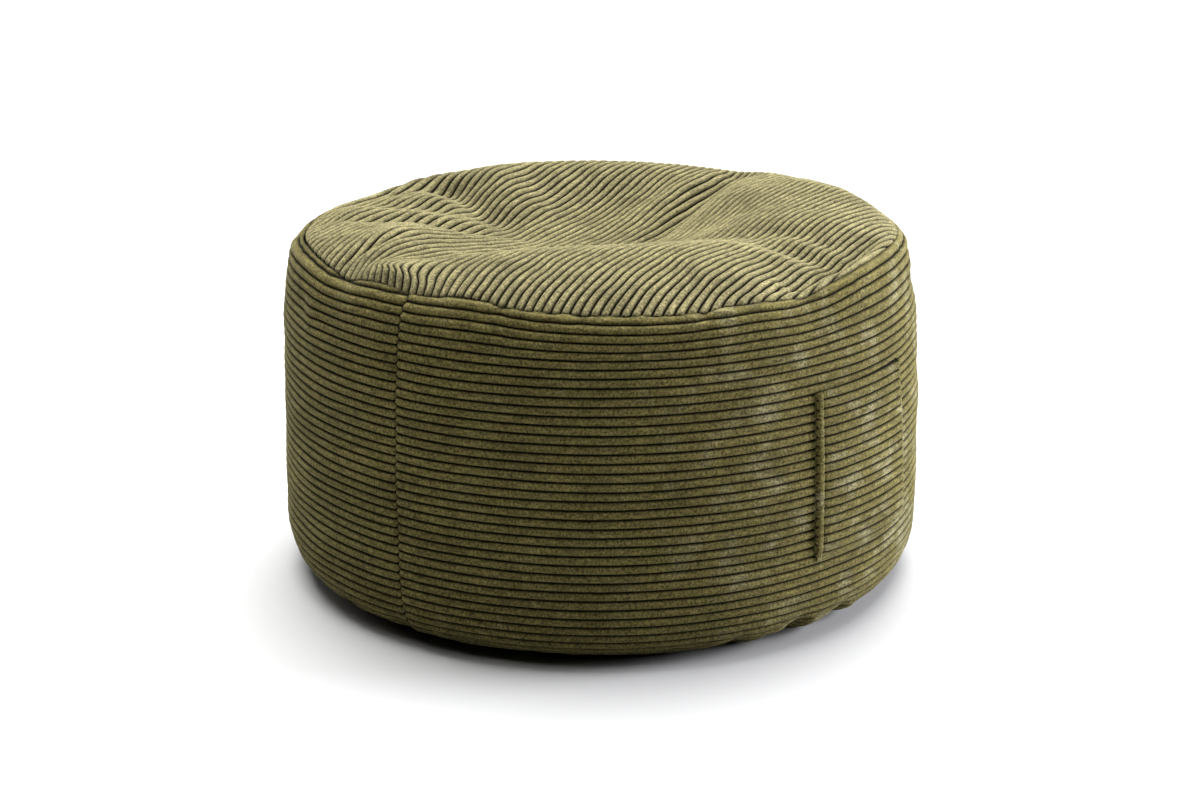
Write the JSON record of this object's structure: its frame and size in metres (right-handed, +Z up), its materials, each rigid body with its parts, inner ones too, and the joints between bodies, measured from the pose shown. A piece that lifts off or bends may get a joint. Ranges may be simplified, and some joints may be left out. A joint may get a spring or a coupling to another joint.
{
  "type": "round bean bag pouf",
  "caption": "Round bean bag pouf in olive wide-wale corduroy, slumped on top, with a patch pocket on its side band.",
  "frame": {"origin": "middle of the base panel's flat underside, on the floor", "axes": "+Z up, +X towards the patch pocket, whose middle is 2 degrees round towards -Y, and -Y towards the side band's closing seam"},
  "size_m": [0.6467, 0.6398, 0.3608],
  "materials": {
    "corduroy_top": "brushed pile, matt with a soft sheen across the ribs",
    "corduroy_side": "brushed pile, matt with a soft sheen across the ribs",
    "base_cloth": "matt"
  },
  "bodies": {
    "root": {"top_panel": "corduroy_top", "side_band": "corduroy_side", "base_panel": "base_cloth", "pocket": "corduroy_side"}
  },
  "joints": []
}
